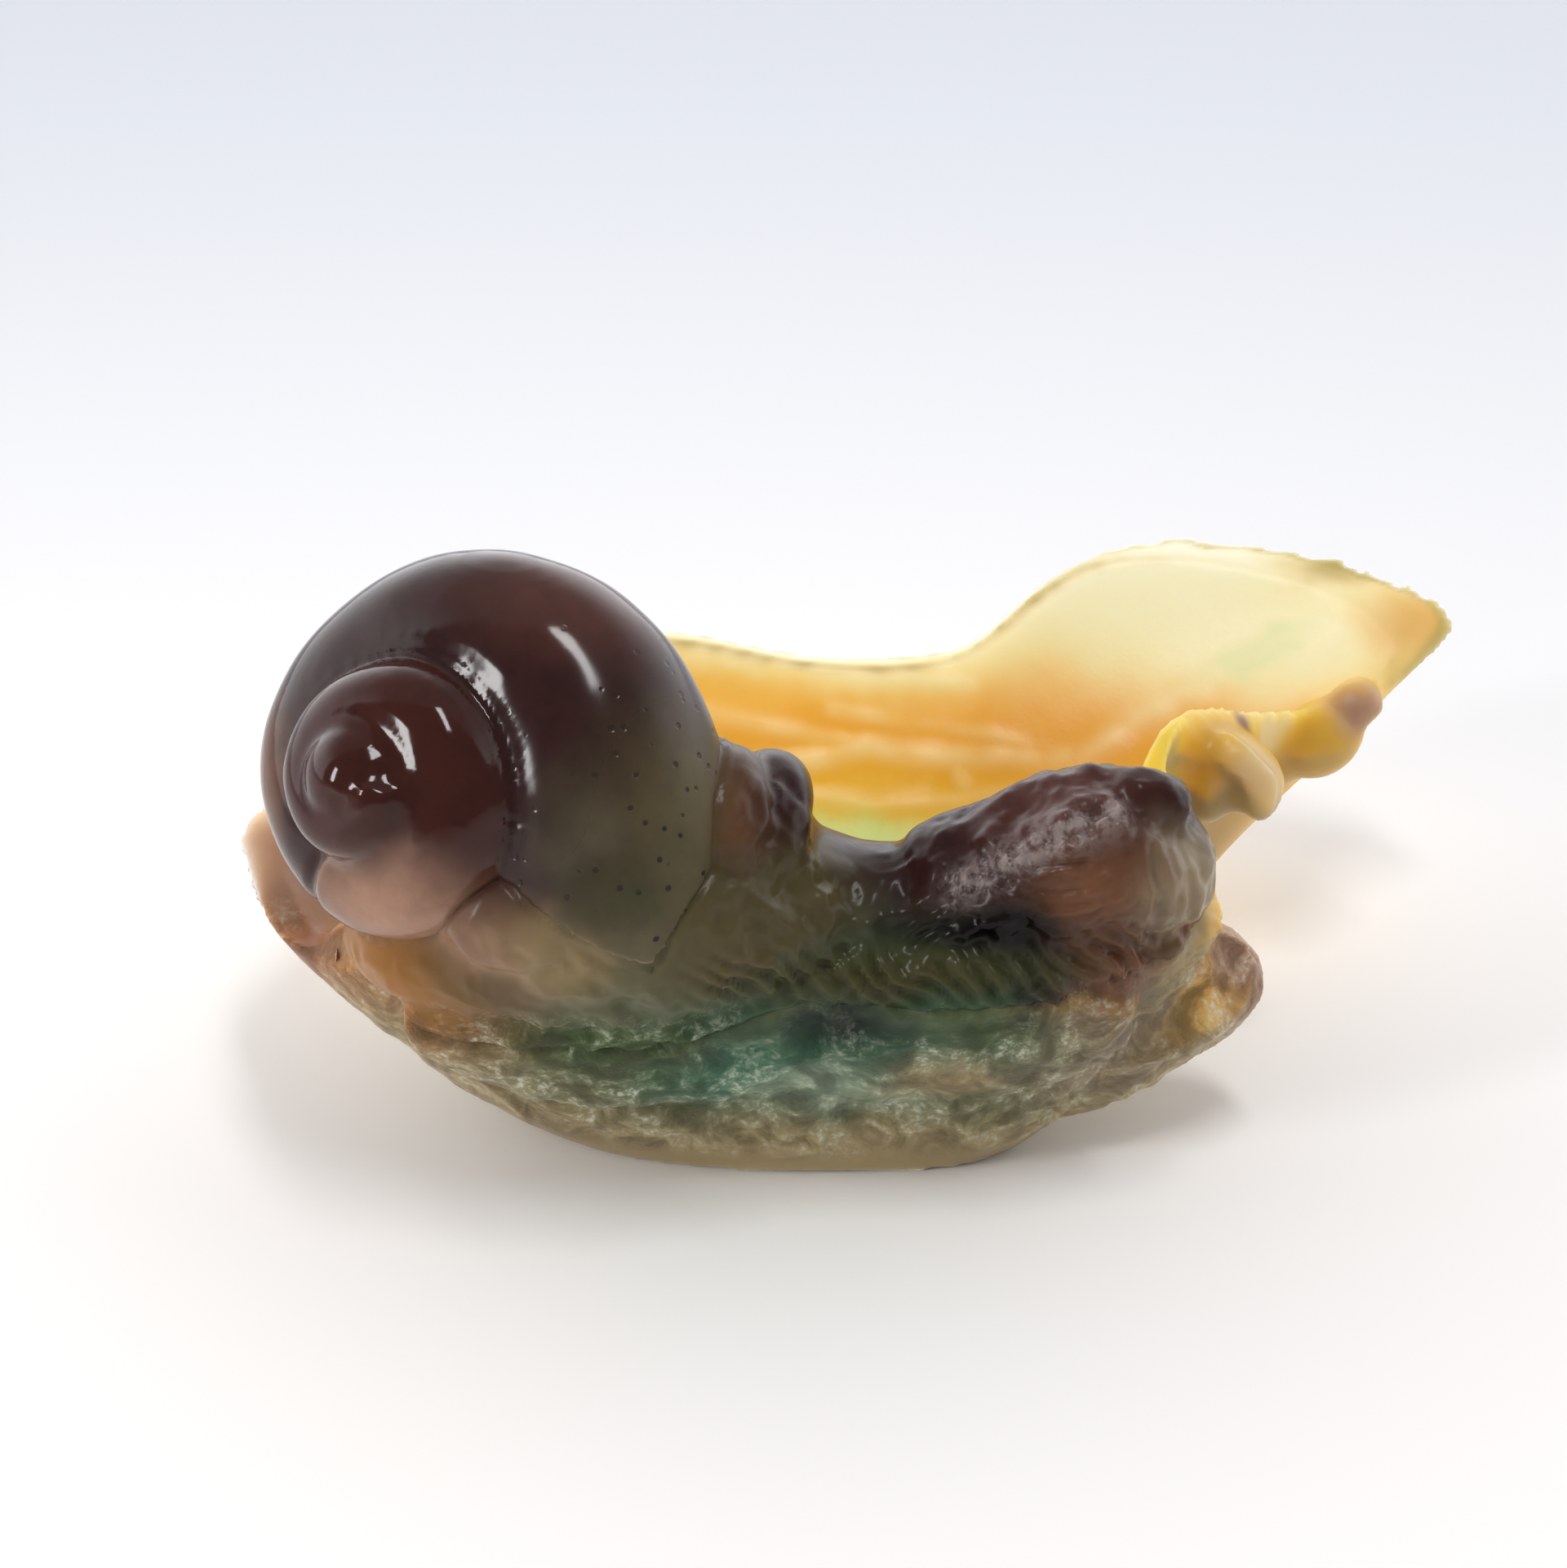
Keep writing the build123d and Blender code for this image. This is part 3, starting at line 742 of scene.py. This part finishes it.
def polished_shell_glass():
    material, tree, glass = new_material("polished amethyst glass")
    place, stirred = stirred_places(tree)
    whorl = charged(tree, stirred, linear(AMETHYST), WHORL_CHARGES)
    body = charged(tree, stirred, linear(AMETHYST), SNAIL_CHARGES)
    tip = charged(tree, stirred, linear(MAROON), SPIRE_CHARGES)
    flank = add(tree, "ShaderNodeAttribute", {"attribute_name": "flank"}, {})
    spire = add(tree, "ShaderNodeAttribute", {"attribute_name": "spire"}, {})
    bedded = add(tree, "ShaderNodeMix", {"data_type": "RGBA"},
                 {"Factor": flank.outputs["Fac"], 6: whorl, 7: body})
    turned = add(tree, "ShaderNodeMix", {"data_type": "RGBA"},
                 {"Factor": spire.outputs["Fac"], 6: bedded.outputs[2], 7: tip})
    cloud = add(tree, "ShaderNodeTexNoise", {},
                {"Vector": place, "Scale": 1 / CLOUD_SIZE, "Detail": 5.0, "Roughness": 0.6})
    pale = add(tree, "ShaderNodeMapRange", {},
               {"Value": cloud.outputs["Fac"], "From Min": 0.3, "From Max": 0.7,
                "To Min": 0.85, "To Max": 1.15})
    clouded = add(tree, "ShaderNodeVectorMath", {"operation": "SCALE"},
                  {0: turned.outputs[2], "Scale": pale.outputs[0]})
    bubbles = add(tree, "ShaderNodeTexVoronoi", {}, {"Vector": place, "Scale": 1 / BUBBLE_SPACING})
    dots = add(tree, "ShaderNodeMapRange", {"interpolation_type": "SMOOTHSTEP"},
               {"Value": bubbles.outputs["Distance"], "From Min": 0.1, "From Max": 0.2,
                "To Min": 1.0, "To Max": 0.0})
    pitted = add(tree, "ShaderNodeMath", {"operation": "MULTIPLY"},
                 {0: dots.outputs[0], 1: flank.outputs["Fac"]})
    # Painted shade: the pits on the flank are coloured near-black
    pit_shaded = add(tree, "ShaderNodeMix", {"data_type": "RGBA"},
                   {"Factor": pitted.outputs[0], 6: clouded.outputs[0], 7: linear(PIT_SHADE)})
    tree.links.new(pit_shaded.outputs[2], glass.inputs["Base Color"])
    rough = add(tree, "ShaderNodeMapRange", {},
                {"Value": flank.outputs["Fac"], "To Min": 0.09, "To Max": 0.5})
    tree.links.new(rough.outputs[0], glass.inputs["Roughness"])
    bump = add(tree, "ShaderNodeBump", {"invert": True},
               {"Strength": 0.4, "Distance": 0.3 * MM, "Height": pitted.outputs[0]})
    tree.links.new(bump.outputs[0], glass.inputs["Normal"])
    glass.inputs["Subsurface Weight"].default_value = 0.6
    glass.inputs["Subsurface Radius"].default_value = (1.0, 0.7, 0.6)
    glass.inputs["Subsurface Scale"].default_value = 4 * MM
    glass.inputs["Specular IOR Level"].default_value = 0.28
    glass.inputs["IOR"].default_value = 1.5
    return material


# Matt white paper, warm in front and cool at the back, that takes a soft shadow
PAPER_FRONT = "#fbf7f3"
PAPER_BACK = "#f6f9ff"


def sweep_paper():
    material, tree, paper = new_material("matt paper")
    coordinates = add(tree, "ShaderNodeTexCoord", {}, {})
    part = add(tree, "ShaderNodeSeparateXYZ", {}, {0: coordinates.outputs["Object"]})
    back = add(tree, "ShaderNodeMapRange", {},
               {"Value": part.outputs["Y"], "From Min": -0.15, "From Max": 0.5})
    mix = add(tree, "ShaderNodeMix", {"data_type": "RGBA"},
              {"Factor": back.outputs[0], 6: linear(PAPER_FRONT), 7: linear(PAPER_BACK)})
    tree.links.new(mix.outputs[2], paper.inputs["Base Color"])
    paper.inputs["Roughness"].default_value = 0.9
    return material


def dress(piece, nodes, material):
    piece.data.materials.clear()
    piece.data.materials.append(material)
    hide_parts(*nodes)
    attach(piece, "root")


# The studio: a white tent that is open at the front and dim at the top, a paper floor, and lamps in front
TENT_WHITE = "#fbfcff"
TENT_EDGE = -0.12
TENT_BLUR = 0.08
SIDE_BRIGHT = 2.15
TOP_BRIGHT = 0.55
FRONT_BRIGHT = 0.3
LAMPS = [((0.11, -0.3, 0.95), 600, (80, 240), 1.2), ((-0.8, -0.5, 0.34), 600, (70, 240), 1.2)]


def make_studio():
    world = bpy.data.worlds.new("tent")
    bpy.context.scene.world = world
    world.use_nodes = True
    tree = world.node_tree
    background = tree.nodes["Background"]
    coordinates = add(tree, "ShaderNodeTexCoord", {}, {})
    way = add(tree, "ShaderNodeSeparateXYZ", {}, {0: coordinates.outputs["Generated"]})
    tent = add(tree, "ShaderNodeMapRange", {"interpolation_type": "SMOOTHSTEP"},
               {"Value": way.outputs["Z"], "From Min": 0.3, "From Max": 0.85,
                "To Min": SIDE_BRIGHT, "To Max": TOP_BRIGHT})
    roofed = add(tree, "ShaderNodeMapRange", {},
                 {"Value": way.outputs["Y"], "From Min": TENT_EDGE - TENT_BLUR, "From Max": TENT_EDGE,
                  "To Min": FRONT_BRIGHT})
    tree.links.new(tent.outputs[0], roofed.inputs["To Max"])
    tree.links.new(roofed.outputs[0], background.inputs["Strength"])
    background.inputs["Color"].default_value = linear(TENT_WHITE)
    bpy.ops.object.select_all(action="DESELECT")
    bpy.ops.mesh.primitive_plane_add(size=8)
    floor = bpy.context.object
    floor.name = "floor"
    floor.data.materials.append(sweep_paper())
    for way, distance, size, power in LAMPS:
        place = Vector(CAMERA_TARGET) + Vector(way) * distance
        bpy.ops.object.light_add(type="AREA", location=place * MM)
        lamp = bpy.context.object
        lamp.data.shape = "RECTANGLE"
        lamp.data.size = size[0] * MM
        lamp.data.size_y = size[1] * MM
        lamp.data.energy = power
        lamp.rotation_euler = Vector(way).to_track_quat("Z", "Y").to_euler()


def make_camera():
    target = Vector(CAMERA_TARGET)
    tilt = radians(CAMERA_ELEVATION)
    place = target + Vector((0, -cos(tilt), sin(tilt))) * CAMERA_DISTANCE
    bpy.ops.object.camera_add(location=place * MM, rotation=(pi / 2 - tilt, 0, 0))
    camera = bpy.context.object
    camera.data.sensor_fit = "HORIZONTAL"
    camera.data.angle = radians(CAMERA_ANGLE)
    camera.data.clip_start = 0.01
    bpy.context.scene.camera = camera


leaf = make_leaf()
snail = make_snail()
shell = make_shell()
dress(leaf, LEAF_NODES, frosted_leaf_glass())
dress(snail, SNAIL_NODES, wet_snail_glass())
dress(shell, SHELL_NODES, polished_shell_glass())
make_studio()
make_camera()
bpy.context.scene.view_settings.view_transform = "Standard"
